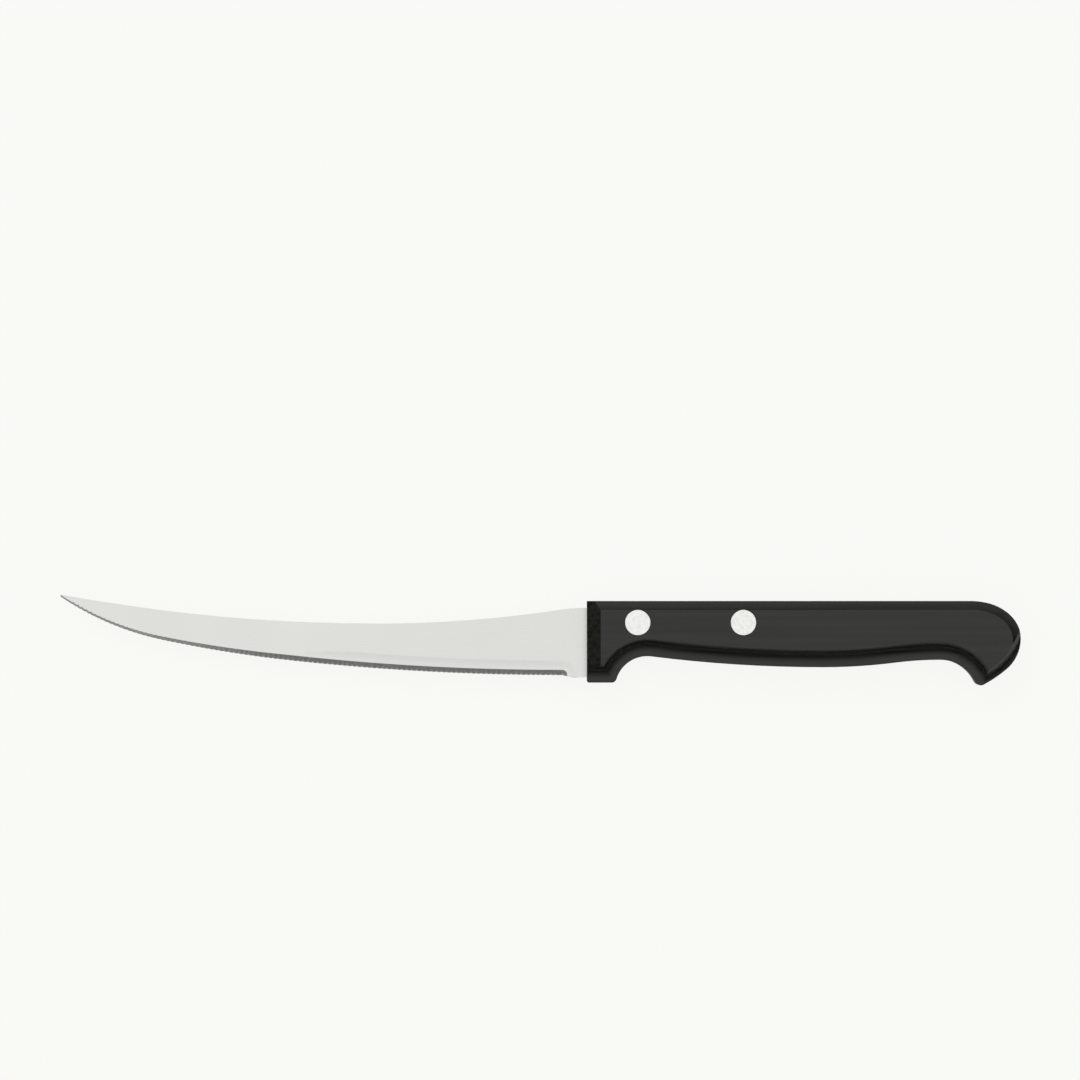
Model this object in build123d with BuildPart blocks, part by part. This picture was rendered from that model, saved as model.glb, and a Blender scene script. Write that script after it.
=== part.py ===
import os

from build123d import *

# The knife lies on its side. X runs from the tip to the butt, Y from the cutting edge up to the
# spine and Z through the thickness, from the floor up. Places are measured from the top front corner
# of the handle, along the handle for a place and down from its straight top for a drop.

# Handle, its size and its outline
handle_length = 104.4
handle_thickness = 13.6
front_height = 19.6
crown_reach = 11.4
crown_drop = 9.1
palm_radius = 9.5
palm_turn = 50
beak_setback = 10.35
beak_drop = 20.85
beak_radius = 1.5
hook_setback = 19.4
hook_drop = 14.1
belly_place_share = 0.545
belly_drop = 15.9
belly_turn_share = 0.62
guard_place = 15.5
guard_drop = 13.3
foot_length = 6.9
foot_radius = 1.2
foot_front_radius = 0.5

# Handle, how its edges are worked
top_bevel_width = 2.1
top_bevel_depth = 1.1
top_bevel_hollow = 0.06
front_bevel_width = 3.3
front_bevel_depth = 2.75
cove_width = 3.85
cove_depth = 3.2
cove_wall_width = 1.2
cove_wall_depth = 2.35
cove_ledge = 0.3
beak_cove_gap = 0.95
palm_cove_gap = 1.5
palm_cove_lead = 3.5

# Blade, its size and its outline
blade_length = 127.0
blade_thickness = 1.2
tip_overlength = 1.03
tip_rise = 1.8
tip_radius = 0.3
spine_drop = 1.6
spine_sag = 5.45
sag_place_share = 0.4
spine_turn_share = 0.88
heel_drop = 18.4
heel_step = 0.54
heel_length = 3.5
heel_ramp = 2.5
edge_turn_shares = ((0.565, 0.815), (0.803, 0.563), (1, 0))

# Blade, its ground edge
grind_height = 3.6
grind_depth = 0.15
grind_hollow = 0.03
taper_length = 70.0
taper_depth = 0.7
band_height = 1.3
edge_land = 0.12
tooth_pitch = 1.2
tooth_cut = 0.22
tooth_start = 1.5
tooth_end = 4.0

# Tang, hidden in the handle
tang_margin = 7.4
tang_drop = 2.2
tang_height = 7.2
tang_root_height = 11.2
tang_root_length = 10.0
slot_clearance = 0.1

# Rivets
rivet_place = 12.2
rivet_spacing = 25.4
rivet_drop = 5.1
head_diameter = 6.24
head_thickness = 1.0
head_edge_bevel = 0.1
head_sink = 0.05
head_clearance = 0.04
tube_diameter = 3.2
tube_clearance = 0.1
tube_gap = 0.5
pin_diameter = 2.0
pin_clearance = 0.03
pin_gap = 0.5
pin_point = 0.3

# What a cut runs past the face that it opens
overrun = 1.0

# The tang ends a margin behind the rear rivet
tang_length = rivet_place + rivet_spacing + tang_margin

# The line that the fingers close round: from the beak over the hook, belly and guard to the foot
beak_place = handle_length - beak_setback
hook_place = handle_length - hook_setback
belly_place = handle_length * belly_place_share
swell_place = belly_place + (hook_place - belly_place) * belly_turn_share
swell_drop = belly_drop + (hook_drop - belly_drop) * belly_turn_share
with BuildLine() as grip_line:
    hook = TangentArc((hook_place, -hook_drop), (beak_place, -beak_drop), tangent=(1, 0))
    swell = TangentArc((belly_place, -belly_drop), (swell_place, -swell_drop), tangent=(1, 0))
    TangentArc(swell @ 1, hook @ 0, tangent=swell % 1)
    belly = TangentArc((belly_place, -belly_drop), (guard_place, -guard_drop), tangent=(-1, 0))
    guard = TangentArc(belly @ 1, (foot_length, -front_height), tangent=belly % 1)

# The handle from the side: a straight top, a round crown and palm, a pointed beak, a square front
with BuildSketch() as handle_outline:
    with BuildLine():
        add(grip_line.line)
        crown_centre = (handle_length - crown_reach, -crown_drop)
        crown = EllipticalCenterArc(crown_centre, crown_reach, crown_drop)
        palm = JernArc(crown @ 0, (0, -1), palm_radius, -palm_turn)
        chin = TangentArc(palm @ 1, (beak_place, -beak_drop), tangent=palm % 1)
        Polyline(crown @ 1, (0, 0), (0, -front_height), (foot_length, -front_height))
    make_face()
    for corner, radius in (
        ((beak_place, -beak_drop), beak_radius),
        ((foot_length, -front_height), foot_radius),
        ((0, -front_height), foot_front_radius),
    ):
        fillet(handle_outline.vertices().sort_by_distance(corner)[0], radius)

# Blade: stamped flat with its tang. The cutting edge bends up towards the tip in ever tighter arcs,
# and the spine sags and rises again to the handle.
tip_place = -blade_length - tip_overlength
sag_place = -blade_length * sag_place_share
climb_place = sag_place * (1 - spine_turn_share)
climb_drop = spine_sag + (spine_drop - spine_sag) * spine_turn_share
heel_place = -heel_length - heel_ramp
edge_drop = heel_drop - heel_step
with BuildLine() as edge_line:
    start = (heel_place, -edge_drop)
    way = Vector(-1, 0)
    for place_share, fall_share in edge_turn_shares:
        fall = (tip_rise + edge_drop) * fall_share
        bend = TangentArc(start, (tip_place * place_share, tip_rise - fall), tangent=way)
        start = bend @ 1
        way = bend % 1

with BuildSketch() as blade_outline:
    with BuildLine():
        add(edge_line.line)
        TangentArc((sag_place, -spine_sag), (tip_place, tip_rise), tangent=(-1, 0))
        climb = TangentArc((sag_place, -spine_sag), (climb_place, -climb_drop), tangent=(1, 0))
        TangentArc(climb @ 1, (0, -spine_drop), tangent=climb % 1)
        Polyline(
            (0, -spine_drop), (0, -heel_drop), (-heel_length, -heel_drop), (heel_place, -edge_drop)
        )
    make_face()
    fillet(blade_outline.vertices().sort_by(Axis.X)[0], tip_radius)
    fillet(blade_outline.vertices().sort_by_distance((-heel_length, -heel_drop))[0], heel_ramp / 2)

# Where the knife lies: its box is centred over the origin, and it lies on its side on the floor
handle_half = handle_thickness / 2
blade_half = blade_thickness / 2
box = handle_outline.sketch.bounding_box().add(blade_outline.sketch.bounding_box())
knife = Plane(origin=-box.center() + (0, 0, handle_half))


def at(place, drop, height=0):
    """The point at a place along the knife, under the handle's top and off its middle plane."""
    return knife.from_local_coords((place, -drop, height))


def lift(route, height):
    """A way drawn flat, at a height over the knife's middle plane."""
    return knife.offset(height).location * route.wires()[0]


def draw_tang(gap):
    """The tang's outline, or with a gap the slot's: a tapered root, then straight to a round end."""
    with BuildSketch() as tang_outline:
        with BuildLine():
            Polyline(
                (tang_length - tang_height / 2, -tang_drop + gap),
                (-overrun, -tang_drop + gap),
                (-overrun, -tang_drop - tang_root_height - gap),
                (0, -tang_drop - tang_root_height - gap),
                (tang_root_length, -tang_drop - tang_height - gap),
                (tang_length - tang_height / 2, -tang_drop - tang_height - gap),
            )
            end_centre = (tang_length - tang_height / 2, -tang_drop - tang_height / 2)
            CenterArc(end_centre, tang_height / 2 + gap, -90, 180)
        make_face()
    return tang_outline.sketch


# Ways of the cutters over the handle's side. The coves follow the outline, so the raised side ends in
# a crease at a steady distance from the edge. Round the palm the cutter goes out of the handle, so the
# cove fades into the plain edge.
with BuildLine() as top_route:
    Line((-overrun, 0), crown @ 1)
    add(crown)
    Line(crown @ 0, (handle_length, -beak_drop))
with BuildLine() as grip_route:
    add(grip_line.line)
    PolarLine(hook @ 1, cove_width + overrun, direction=hook % 1)
    PolarLine(guard @ 1, cove_width + overrun, direction=guard % 1)
with BuildLine() as foot_route:
    Line((-overrun, -front_height), (foot_length + cove_width, -front_height))
with BuildLine() as palm_route:
    palm_middle = palm @ 1 + (palm % 1).rotate(Axis.Z, 90) * palm_cove_gap
    palm_start = chin @ 1 + (chin % 1).rotate(Axis.Z, 90) * beak_cove_gap
    palm_finish = (handle_length + palm_cove_lead, -crown_drop / 2)
    palm_cove = ThreePointArc(palm_start, palm_middle, palm_finish)
    PolarLine(palm_cove @ 0, -cove_width - overrun, direction=palm_cove % 0)


# The cove's floor is level where it meets the ledge
floor_width = cove_width - cove_wall_width
floor_rise = cove_depth - cove_wall_depth
floor_radius = (floor_width ** 2 + floor_rise ** 2) / (floor_rise + floor_rise)


def draw_cove(path, side):
    """The cove's section at the start of its way: a steep wall, a hollow floor and a narrow ledge."""
    to_butt = (path % 0) * (1 if (path @ 1).X > (path @ 0).X else -1)
    outward = to_butt.rotate(Axis.Z, -90)
    with BuildSketch(Plane(path @ 0, x_dir=outward, z_dir=-to_butt)) as section:
        with BuildLine():
            wall_foot = (cove_wall_width - cove_width - cove_ledge, -side * cove_wall_depth)
            floor_end = (-cove_ledge, -side * cove_depth)
            RadiusArc(wall_foot, floor_end, -side * floor_radius)
            Polyline(
                floor_end,
                (overrun, -side * cove_depth),
                (overrun, side * overrun),
                (-cove_ledge - cove_width, side * overrun),
                (-cove_ledge - cove_width, 0),
                wall_foot,
            )
        make_face()
    return section.sketch


# Handle: one moulding, worked alike on both sides, with a slot for the tang opened from its front
head_face = handle_half - head_sink
head_seat = head_face - head_thickness
rivet_centres = {
    "front": (rivet_place, -rivet_drop),
    "rear": (rivet_place + rivet_spacing, -rivet_drop),
}
front_slope = front_bevel_depth / front_bevel_width
with BuildPart() as handle:
    with BuildSketch(knife):
        add(handle_outline.sketch)
    extrude(amount=handle_half, both=True)
    for side in (1, -1):
        # The front slopes back from the blade
        with BuildSketch(Plane(at(0, -overrun), x_dir=(1, 0, 0), z_dir=(0, -1, 0))):
            with BuildLine():
                Polyline(
                    (-overrun, side * (handle_half - front_bevel_depth - overrun * front_slope)),
                    (front_bevel_width + overrun, side * (handle_half + overrun * front_slope)),
                    (-overrun, side * (handle_half + overrun * front_slope)),
                    close=True,
                )
            make_face()
        extrude(amount=front_height + overrun + overrun, mode=Mode.SUBTRACT)
        # The bevel along the top and over the crown, a little hollow
        section = Plane(at(-overrun, 0, side * handle_half), x_dir=(0, -1, 0), z_dir=(1, 0, 0))
        with BuildSketch(section):
            with BuildLine():
                crease = (top_bevel_width, 0)
                foot = (0, side * top_bevel_depth)
                SagittaArc(crease, foot, -side * top_bevel_hollow)
                Polyline(
                    foot,
                    (-overrun, side * top_bevel_depth),
                    (-overrun, -side * overrun),
                    (top_bevel_width, -side * overrun),
                    crease,
                )
            make_face()
        sweep(path=lift(top_route, side * handle_half), mode=Mode.SUBTRACT)
        # The coves
        for route in (grip_route, foot_route, palm_route):
            path = lift(route, side * handle_half)
            sweep(draw_cove(path, side), path=path, mode=Mode.SUBTRACT)
        # The seats of the rivet heads
        with BuildSketch(knife.offset(side * handle_half)):
            with Locations(*rivet_centres.values()):
                Circle(head_diameter / 2 + head_clearance)
        extrude(amount=side * (head_seat - handle_half), mode=Mode.SUBTRACT)
    with BuildSketch(knife):
        with Locations(*rivet_centres.values()):
            Circle(tube_diameter / 2 + tube_clearance)
    extrude(amount=handle_half, both=True, mode=Mode.SUBTRACT)
    with BuildSketch(knife):
        add(draw_tang(slot_clearance))
    extrude(amount=blade_half + slot_clearance, both=True, mode=Mode.SUBTRACT)
handle.part.label = "handle"

# What the grinding takes away, seen along the edge: height over the edge, then off the middle plane.
# The face is ground a little hollow above a steep narrow bevel, and the far side is only eased. The
# face is also ground thinner towards the tip, where the bevel narrows with it.
bevel_top = blade_half - grind_depth
bevel_foot = edge_land + grind_depth - blade_half
bevel_slope = (bevel_top - bevel_foot) / band_height
easing_slope = grind_depth / grind_height
taper_slope = taper_depth / taper_length


def draw_grind(reach):
    """The ground-away section of the shown side and of the far side, reaching below the edge."""
    with BuildSketch(Plane(at(heel_place, edge_drop), x_dir=(0, 1, 0), z_dir=(1, 0, 0))) as section:
        with BuildLine():
            SagittaArc((grind_height, blade_half), (band_height, bevel_top), grind_hollow)
            Polyline(
                (band_height, bevel_top),
                (-reach, bevel_foot - reach * bevel_slope),
                (-reach, blade_half + overrun),
                (grind_height, blade_half + overrun),
                (grind_height, blade_half),
            )
        make_face()
        with BuildLine():
            Polyline(
                (grind_height, -blade_half),
                (-reach, grind_depth - blade_half + reach * easing_slope),
                (-reach, -blade_half - overrun),
                (grind_height, -blade_half - overrun),
                close=True,
            )
        make_face()
    return section.sketch


with BuildLine() as edge_route:
    add(edge_line.line)
    PolarLine(bend @ 1, grind_height + overrun, direction=bend % 1)

# Each tooth is one wheel's groove across the bevel, deepest at the edge and gone at the bevel's top
edge_wire = edge_line.wires()[0]
tooth_span = edge_wire.length - tooth_start - tooth_end
tooth_places = [tooth_start + tooth_pitch * n for n in range(int(tooth_span / tooth_pitch) + 1)]
groove_planes = []
for tooth_place in tooth_places:
    way = edge_wire.tangent_at(tooth_place / edge_wire.length)
    edge_point = edge_wire.position_at(tooth_place / edge_wire.length)
    upward = way.rotate(Axis.Z, -90)
    low = knife.from_local_coords(edge_point + Vector(0, 0, bevel_foot - tooth_cut))
    slope = upward * band_height + Vector(0, 0, bevel_top - bevel_foot + tooth_cut)
    groove_planes.append(Plane(low - slope.normalized() * overrun, x_dir=way, z_dir=slope))
groove_length = slope.length + overrun + overrun

with BuildPart() as blade:
    with BuildSketch(knife):
        add(blade_outline.sketch)
        add(draw_tang(0))
    extrude(amount=blade_half, both=True)
    with BuildSketch(knife):
        with Locations(*rivet_centres.values()):
            Circle(tube_diameter / 2 + tube_clearance)
    extrude(amount=blade_half, both=True, mode=Mode.SUBTRACT)
    # The shown face is ground away in a long wedge up to the tip
    with BuildSketch(Plane(at(tip_place, -tip_rise - overrun), x_dir=(1, 0, 0), z_dir=(0, -1, 0))):
        with BuildLine():
            Polyline(
                (-overrun, blade_half - taper_depth - overrun * taper_slope),
                (taper_length + overrun, blade_half + overrun * taper_slope),
                (taper_length + overrun, blade_half + overrun),
                (-overrun, blade_half + overrun),
                close=True,
            )
        make_face()
    extrude(amount=tip_rise + edge_drop + overrun + overrun, mode=Mode.SUBTRACT)
    sweep(draw_grind(overrun), path=lift(edge_route, 0), mode=Mode.SUBTRACT)
    # At the heel the wheel leaves a round end
    heel_axis = Axis(at(heel_place, edge_drop), (0, 0, -1))
    revolve(draw_grind(0), axis=heel_axis, revolution_arc=180, mode=Mode.SUBTRACT)
    with BuildSketch(*groove_planes):
        with BuildLine():
            Polyline((0, 0), (tooth_pitch / 2, tooth_cut), (-tooth_pitch / 2, tooth_cut), close=True)
        make_face()
    extrude(amount=groove_length, mode=Mode.SUBTRACT)
blade.part.label = "blade"


def make_socket(centre):
    """The tubular half of a rivet, with its head on the far side."""
    seat = Plane(at(centre[0], -centre[1]))
    with BuildPart() as socket:
        with BuildSketch(seat.offset(-head_seat)):
            Circle(head_diameter / 2)
        extrude(amount=-head_thickness)
        chamfer(socket.faces().sort_by(Axis.Z)[0].edges(), head_edge_bevel)
        with BuildSketch(seat.offset(-head_seat)):
            Circle(tube_diameter / 2)
        extrude(amount=head_seat + head_seat - tube_gap)
        with BuildSketch(seat.offset(-head_seat)):
            Circle(pin_diameter / 2 + pin_clearance)
        extrude(amount=head_seat + head_seat, mode=Mode.SUBTRACT)
    return socket.part


def make_pin(centre):
    """The solid half of a rivet, with its head on the shown side, driven into the tubular half."""
    seat = Plane(at(centre[0], -centre[1]))
    with BuildPart() as pin:
        with BuildSketch(seat.offset(head_seat)):
            Circle(head_diameter / 2)
        extrude(amount=head_thickness)
        chamfer(pin.faces().sort_by(Axis.Z)[-1].edges(), head_edge_bevel)
        with BuildSketch(seat.offset(head_seat)):
            Circle(pin_diameter / 2)
        extrude(amount=pin_gap - head_seat - head_seat)
        chamfer(pin.faces().sort_by(Axis.Z)[0].edges(), pin_point)
    return pin.part


pieces = [handle.part, blade.part]
for end, centre in rivet_centres.items():
    socket = make_socket(centre)
    socket.label = f"{end}_rivet_socket"
    pin = make_pin(centre)
    pin.label = f"{end}_rivet_pin"
    pieces += [socket, pin]

os.makedirs("parts", exist_ok=True)
for piece in pieces:
    export_step(piece, f"parts/{piece.label}.step")
    print(piece.label, piece.is_valid, piece.volume, piece.bounding_box())
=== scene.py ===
from math import cos, pi, radians, sin

import bmesh
import bpy
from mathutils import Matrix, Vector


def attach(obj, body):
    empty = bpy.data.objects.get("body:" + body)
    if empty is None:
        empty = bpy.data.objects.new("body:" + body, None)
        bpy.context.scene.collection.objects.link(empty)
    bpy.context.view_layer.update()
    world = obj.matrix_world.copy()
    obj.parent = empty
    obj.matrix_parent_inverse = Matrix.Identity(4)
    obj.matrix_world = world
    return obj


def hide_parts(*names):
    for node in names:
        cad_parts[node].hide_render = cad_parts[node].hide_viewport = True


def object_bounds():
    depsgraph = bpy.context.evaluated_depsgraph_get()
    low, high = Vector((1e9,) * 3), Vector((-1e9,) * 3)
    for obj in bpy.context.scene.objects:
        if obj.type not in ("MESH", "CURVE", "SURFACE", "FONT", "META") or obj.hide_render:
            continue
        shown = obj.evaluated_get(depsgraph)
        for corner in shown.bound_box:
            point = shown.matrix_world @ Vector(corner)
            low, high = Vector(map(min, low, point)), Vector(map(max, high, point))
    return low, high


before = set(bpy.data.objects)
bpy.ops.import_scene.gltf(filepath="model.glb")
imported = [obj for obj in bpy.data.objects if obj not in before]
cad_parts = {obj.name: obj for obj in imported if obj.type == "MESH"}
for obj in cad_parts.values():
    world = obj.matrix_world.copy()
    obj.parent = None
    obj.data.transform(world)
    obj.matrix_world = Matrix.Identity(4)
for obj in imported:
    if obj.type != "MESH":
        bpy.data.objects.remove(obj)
size_of_frame = [list(corner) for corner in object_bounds()]

# Handle: one injection moulding in black polypropylene, shrunk over the tang and riveted to it. The
# tool leaves its sides semi-matt, its creases slightly round and a fine parting line where its halves
# met. Faint long streaks run along it, in its roughness and, as painted sheen, in its colour.
MM = 0.001
weld_reach = MM / 1000
crease_turn = radians(24)


def linear(code):
    """An sRGB hex colour in Blender's linear values."""
    shares = [int(code[n:n + 2], 16) / 255 for n in (1, 3, 5)]
    return [c / 12.92 if c <= 0.04045 else ((c + 0.055) / 1.055) ** 2.4 for c in shares] + [1]


def add_node(tree, kind, inputs, **settings):
    """Adds a shader node with its settings, and with each input set to a value or linked."""
    node = tree.nodes.new("ShaderNode" + kind)
    for name, value in settings.items():
        setattr(node, name, value)
    for name, value in inputs.items():
        if isinstance(value, bpy.types.NodeSocket):
            tree.links.new(value, node.inputs[name])
        else:
            node.inputs[name].default_value = value
    return node


def new_material(name):
    """An empty node material, its tree and its output."""
    material = bpy.data.materials.new(name)
    material.use_nodes = True
    tree = material.node_tree
    tree.nodes.clear()
    return material, tree, tree.nodes.new("ShaderNodeOutputMaterial")


def dress(node, name, material):
    """A finished copy of a piece of the frame, smooth between its creases, in one material."""
    shape = bmesh.new()
    shape.from_mesh(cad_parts[node].data)
    bmesh.ops.remove_doubles(shape, verts=shape.verts, dist=weld_reach)
    for face in shape.faces:
        face.smooth = True
        face.material_index = 0
    for edge in shape.edges:
        edge.smooth = edge.calc_face_angle(0) < crease_turn
    mesh = bpy.data.meshes.new(name)
    shape.to_mesh(mesh)
    shape.free()
    mesh.materials.append(material)
    piece = bpy.data.objects.new(name, mesh)
    bpy.context.collection.objects.link(piece)
    weighting = piece.modifiers.new("weighting", "WEIGHTED_NORMAL")
    weighting.mode = "FACE_AREA_WITH_ANGLE"
    weighting.keep_sharp = True
    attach(piece, "root")
    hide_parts(node)
    return piece


# Black polypropylene, moulded semi-matt: a dark base that shows mostly its sheen. Long streaks make its
# roughness a little uneven, and are painted into the base as lighter lines, a painted sheen. It has a
# fine grain from the spark-eroded tool and soft creases. The real grain is about 0.1 mm and the real
# parting line is as fine: both are drawn wider, so that they show.
mould_edge = 0.1 * MM
streak_length, streak_width = 45 * MM, 1.1 * MM
grain_size, grain_depth = 0.45 * MM, 0.004 * MM
parting_height = (size_of_frame[0][2] + size_of_frame[1][2]) / 2
parting_reach, parting_relief = 0.09 * MM, 0.03 * MM
least_rough, most_rough = 0.17, 0.24
polypropylene, tree, output = new_material("black_polypropylene_moulded")
place = add_node(tree, "TexCoord", {}).outputs["Object"]
streak_space = add_node(tree, "Mapping", {
    "Vector": place, "Scale": (1 / streak_length, 1 / streak_width, 1 / streak_width)})
streak_noise = add_node(tree, "TexNoise", {
    "Vector": streak_space.outputs["Vector"], "Scale": 1, "Detail": 3, "Roughness": 0.55})
streaks = add_node(tree, "MapRange", {
    "Value": streak_noise.outputs["Fac"], "From Min": 0.35, "From Max": 0.65})
# Painted sheen: the streaks lighten the dark base in long lines along the handle.
colour = add_node(tree, "Mix", {
    "Factor": streaks.outputs["Result"], "A": linear("#0a0b06"), "B": linear("#1b1c11")},
    data_type="RGBA")
roughness = add_node(tree, "MapRange", {
    "Value": streaks.outputs["Result"], "To Min": least_rough, "To Max": most_rough})
soft_crease = add_node(tree, "Bevel", {"Radius": mould_edge}, samples=6)
grain = add_node(tree, "TexNoise", {"Vector": place, "Scale": 1 / grain_size, "Detail": 2})
grained = add_node(tree, "Bump", {
    "Height": grain.outputs["Fac"], "Strength": 0.25, "Distance": grain_depth,
    "Normal": soft_crease.outputs["Normal"]})
height = add_node(tree, "SeparateXYZ", {"Vector": place}).outputs["Z"]
above = add_node(tree, "Math", {0: height, 1: parting_height}, operation="SUBTRACT")
from_parting = add_node(tree, "Math", {0: above.outputs[0]}, operation="ABSOLUTE")
parting = add_node(tree, "MapRange", {
    "Value": from_parting.outputs[0], "From Max": parting_reach, "To Min": 1, "To Max": 0},
    interpolation_type="SMOOTHSTEP")
parted = add_node(tree, "Bump", {
    "Height": parting.outputs["Result"], "Distance": parting_relief,
    "Normal": grained.outputs["Normal"]})
shader = add_node(tree, "BsdfPrincipled", {
    "Base Color": colour.outputs["Result"], "Roughness": roughness.outputs["Result"],
    "Normal": parted.outputs["Normal"], "IOR": 1.46})
tree.links.new(shader.outputs["BSDF"], output.inputs["Surface"])

handle = dress("handle", "moulded_handle", polypropylene)

# Blade: stamped from stainless strip and finely ground lengthwise. Its edge is ground on the shown
# side alone, by a wheel that runs across it, and cut with fine grooves. The tang runs on inside the
# handle.

# Satin stainless steel: a pale, even grey with a soft sheen, broken by fine lines along the blade and
# slightly clouded. The real lines are some 0.05 mm apart, and are drawn coarser so that they show.
line_length, line_width, line_depth = 14 * MM, 0.22 * MM, 0.002 * MM
cloud_size = 22 * MM
least_rough, most_rough = 0.26, 0.34
stainless, tree, output = new_material("stainless_steel_satin")
place = add_node(tree, "TexCoord", {}).outputs["Object"]
line_space = add_node(tree, "Mapping", {
    "Vector": place, "Scale": (1 / line_length, 1 / line_width, 1 / line_width)})
lines = add_node(tree, "TexNoise", {
    "Vector": line_space.outputs["Vector"], "Scale": 1, "Detail": 4, "Roughness": 0.6})
clouds = add_node(tree, "TexNoise", {"Vector": place, "Scale": 1 / cloud_size, "Detail": 2})
roughness = add_node(tree, "MapRange", {
    "Value": lines.outputs["Fac"], "From Min": 0.3, "From Max": 0.7,
    "To Min": least_rough, "To Max": most_rough})
colour = add_node(tree, "Mix", {
    "Factor": clouds.outputs["Fac"], "A": linear("#d4d4d0"), "B": linear("#dbdcd8")},
    data_type="RGBA")
relief = add_node(tree, "Bump", {
    "Height": lines.outputs["Fac"], "Strength": 0.2, "Distance": line_depth})
shader = add_node(tree, "BsdfPrincipled", {
    "Base Color": colour.outputs["Result"], "Metallic": 1, "Roughness": roughness.outputs["Result"],
    "Normal": relief.outputs["Normal"]})
tree.links.new(shader.outputs["BSDF"], output.inputs["Surface"])

# The same steel where the wheel has cut it: a soft band, darker because it slopes and a little rougher,
# with the wheel's marks across the edge and creases that the last polish left slightly round. It grows
# duller towards the tip, where the wheel only grazed it. These marks too are drawn coarser than real.
mark_width, mark_length, mark_depth = 0.14 * MM, 4 * MM, 0.006 * MM
ground_edge = 0.22 * MM
least_rough, most_rough = 0.28, 0.42
blade_tip, dull_length, added_at_tip = size_of_frame[0][0], 50 * MM, 0.3
wheel_ground, tree, output = new_material("stainless_steel_wheel_ground")
place = add_node(tree, "TexCoord", {}).outputs["Object"]
mark_space = add_node(tree, "Mapping", {
    "Vector": place, "Scale": (1 / mark_width, 1 / mark_length, 1 / mark_length)})
marks = add_node(tree, "TexNoise", {
    "Vector": mark_space.outputs["Vector"], "Scale": 1, "Detail": 3, "Roughness": 0.6})
roughness = add_node(tree, "MapRange", {
    "Value": marks.outputs["Fac"], "From Min": 0.3, "From Max": 0.7,
    "To Min": least_rough, "To Max": most_rough})
along = add_node(tree, "SeparateXYZ", {"Vector": place})
dullness = add_node(tree, "MapRange", {
    "Value": along.outputs["X"], "From Min": blade_tip, "From Max": blade_tip + dull_length,
    "To Min": added_at_tip, "To Max": 0})
dulled = add_node(tree, "Math", {
    0: roughness.outputs["Result"], 1: dullness.outputs["Result"]}, operation="ADD")
colour = add_node(tree, "Mix", {
    "Factor": marks.outputs["Fac"], "A": linear("#d2d2cf"), "B": linear("#dddddb")},
    data_type="RGBA")
round_crease = add_node(tree, "Bevel", {"Radius": ground_edge}, samples=8)
relief = add_node(tree, "Bump", {
    "Height": marks.outputs["Fac"], "Strength": 0.6, "Distance": mark_depth,
    "Normal": round_crease.outputs["Normal"]})
shader = add_node(tree, "BsdfPrincipled", {
    "Base Color": colour.outputs["Result"], "Metallic": 1, "Roughness": dulled.outputs["Value"],
    "Normal": relief.outputs["Normal"]})
tree.links.new(shader.outputs["BSDF"], output.inputs["Surface"])

# Faces that lean out of the flat sides have been on the wheel: the edge, its grooves and the spine.
level_tilt = radians(3)
blade = dress("blade", "ground_blade", stainless)
blade.data.materials.append(wheel_ground)
for face in blade.data.polygons:
    face.material_index = int(abs(face.normal.z) < cos(level_tilt))

# Rivets: a tube half and a pin half in aluminium, pressed together through handle and tang, their
# heads then ground off level with the plastic.

# Matt ground aluminium: pale, nearly white, with its tone and its roughness slightly mottled.
mottle_size, mottle_depth = 0.9 * MM, 0.006 * MM
least_rough, most_rough = 0.34, 0.5
aluminium, tree, output = new_material("aluminium_ground_matt")
place = add_node(tree, "TexCoord", {}).outputs["Object"]
mottle = add_node(tree, "TexNoise", {"Vector": place, "Scale": 1 / mottle_size, "Detail": 3})
patches = add_node(tree, "MapRange", {
    "Value": mottle.outputs["Fac"], "From Min": 0.35, "From Max": 0.65})
roughness = add_node(tree, "MapRange", {
    "Value": patches.outputs["Result"], "To Min": least_rough, "To Max": most_rough})
colour = add_node(tree, "Mix", {
    "Factor": patches.outputs["Result"], "A": linear("#e0e1dd"), "B": linear("#f6f7f3")},
    data_type="RGBA")
relief = add_node(tree, "Bump", {
    "Height": mottle.outputs["Fac"], "Strength": 0.3, "Distance": mottle_depth})
shader = add_node(tree, "BsdfPrincipled", {
    "Base Color": colour.outputs["Result"], "Metallic": 1, "Roughness": roughness.outputs["Result"],
    "Normal": relief.outputs["Normal"]})
tree.links.new(shader.outputs["BSDF"], output.inputs["Surface"])

for end in ("front", "rear"):
    for half in ("socket", "pin"):
        rivet = dress(f"{end}_rivet_{half}", f"ground_{end}_{half}", aluminium)

# Floor: one round sheet of white card that the knife lies on, turned up at its far rim so that it
# also stands behind the knife from the side. Its sizes are in metres.
floor_reach, backdrop_height, turn_radius = 8.0, 0.8, 0.4
bends, sides = 8, 96
rings = [(floor_reach - turn_radius, 0)]
for n in range(1, bends + 1):
    turn = pi / 2 * n / bends
    reach = floor_reach - turn_radius + turn_radius * sin(turn)
    height = turn_radius - turn_radius * cos(turn)
    rings.append((reach, height))
rings.append((floor_reach, backdrop_height))
shape = bmesh.new()
loops = []
for reach, height in rings:
    loops.append([shape.verts.new((
        reach * cos(2 * pi * n / sides), reach * sin(2 * pi * n / sides), height)) for n in range(sides)])
shape.faces.new(loops[0])
for inner, outer in zip(loops, loops[1:]):
    for n in range(sides):
        shape.faces.new((inner[n], outer[n], outer[(n + 1) % sides], inner[(n + 1) % sides]))
for face in shape.faces:
    face.smooth = len(face.verts) == 4
mesh = bpy.data.meshes.new("studio_floor")
shape.to_mesh(mesh)
shape.free()
floor = bpy.data.objects.new("studio_floor", mesh)
bpy.context.collection.objects.link(floor)
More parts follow.
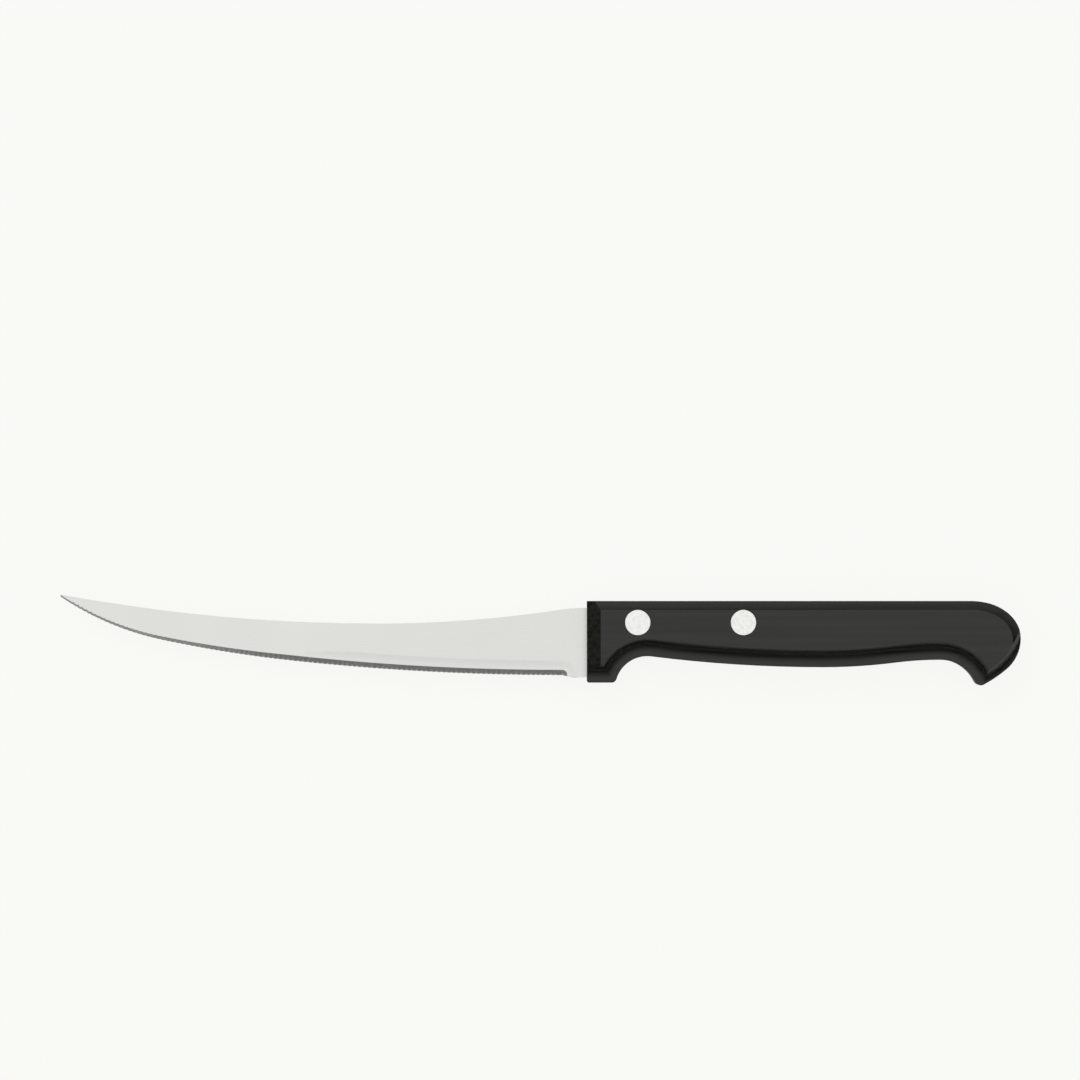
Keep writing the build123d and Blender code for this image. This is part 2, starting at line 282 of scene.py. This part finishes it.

# White card, matt: it shows evenly white, with a share of its real shade left in, so that the knife's
# soft shadow stays. In gloss it shows only as it is lit close to the knife, and a white glow is painted
# in further off, so that it turns white there. The knife's walls thus mirror it darker, a painted shade
# around the knife.
white_share, near, far = 0.9, 150 * MM, 600 * MM
card, tree, output = new_material("white_card_matt")
shade = add_node(tree, "BsdfDiffuse", {"Color": linear("#d4d4d1")})
glow = add_node(tree, "Emission", {"Color": linear("#fffffc"), "Strength": 1})
path = add_node(tree, "LightPath", {})
in_gloss = add_node(tree, "Math", {
    0: path.outputs["Is Glossy Ray"], 1: path.outputs["Is Transmission Ray"]}, operation="MAXIMUM")
place = add_node(tree, "TexCoord", {}).outputs["Object"]
away = add_node(tree, "VectorMath", {0: place}, operation="LENGTH")
# Painted shade in gloss: no white glow within 150 mm of the knife, rising to the full share at 600 mm.
painted_glow_in_gloss = add_node(tree, "MapRange", {
    "Value": away.outputs["Value"], "From Min": near, "From Max": far, "To Max": white_share})
mirrored = add_node(tree, "Math", {
    0: in_gloss.outputs[0], 1: painted_glow_in_gloss.outputs["Result"]}, operation="MULTIPLY")
direct = add_node(tree, "Math", {
    0: path.outputs["Is Camera Ray"], 1: white_share}, operation="MULTIPLY")
glow_share = add_node(tree, "Math", {
    0: direct.outputs[0], 1: mirrored.outputs[0]}, operation="MAXIMUM")
surface = add_node(tree, "MixShader", {
    0: glow_share.outputs[0], 1: shade.outputs["BSDF"], 2: glow.outputs["Emission"]})
tree.links.new(surface.outputs["Shader"], output.inputs["Surface"])
mesh.materials.append(card)

# Light: a large soft box overhead, leaning a little to the spine's side, which fades from its rim down
# to a dim horizon, with one soft lamp high up on that side.
box_level, horizon_level = 1.07, 0.12
lean, box_rim, fade_end = radians(10), radians(19), radians(68)
lamp_width, lamp_power = 0.5, 1.6
lamp_place, lamp_turn = (-0.25, 0.55, 0.9), (radians(-31), 0, radians(-24))
world = bpy.data.worlds.new("soft_dome")
bpy.context.scene.world = world
world.use_nodes = True
tree = world.node_tree
tree.nodes.clear()
way = add_node(tree, "TexCoord", {}).outputs["Generated"]
facing = add_node(tree, "VectorMath", {
    0: way, 1: (0, sin(lean), cos(lean))}, operation="DOT_PRODUCT")
level = add_node(tree, "MapRange", {
    "Value": facing.outputs["Value"], "From Min": cos(fade_end), "From Max": cos(box_rim),
    "To Min": horizon_level, "To Max": box_level}, interpolation_type="SMOOTHSTEP")
dome = add_node(tree, "Background", {"Color": (1, 1, 1, 1), "Strength": level.outputs["Result"]})
output = tree.nodes.new("ShaderNodeOutputWorld")
tree.links.new(dome.outputs["Background"], output.inputs["Surface"])

lamp_data = bpy.data.lights.new("soft_lamp", "AREA")
lamp_data.shape = "DISK"
lamp_data.size = lamp_width
lamp_data.energy = lamp_power
lamp = bpy.data.objects.new("soft_lamp", lamp_data)
lamp.location = lamp_place
lamp.rotation_euler = lamp_turn
bpy.context.collection.objects.link(lamp)

# Camera: straight above, from far off, as the photograph was taken. The frame is 260 mm wide at the
# knife's middle height, and the knife lies 24 mm below the frame's middle.
frame_width, frame_rise, seen_height = 260.0 * MM, 24.1 * MM, 10.5 * MM
sensor_width, lens_length = 36, 240
camera_data = bpy.data.cameras.new("camera")
camera_data.sensor_width = sensor_width
camera_data.lens = lens_length
camera = bpy.data.objects.new("camera", camera_data)
distance = frame_width * lens_length / sensor_width
camera.location = (0, frame_rise, seen_height + distance)
bpy.context.collection.objects.link(camera)
bpy.context.scene.camera = camera
bpy.context.scene.view_settings.view_transform = "Standard"
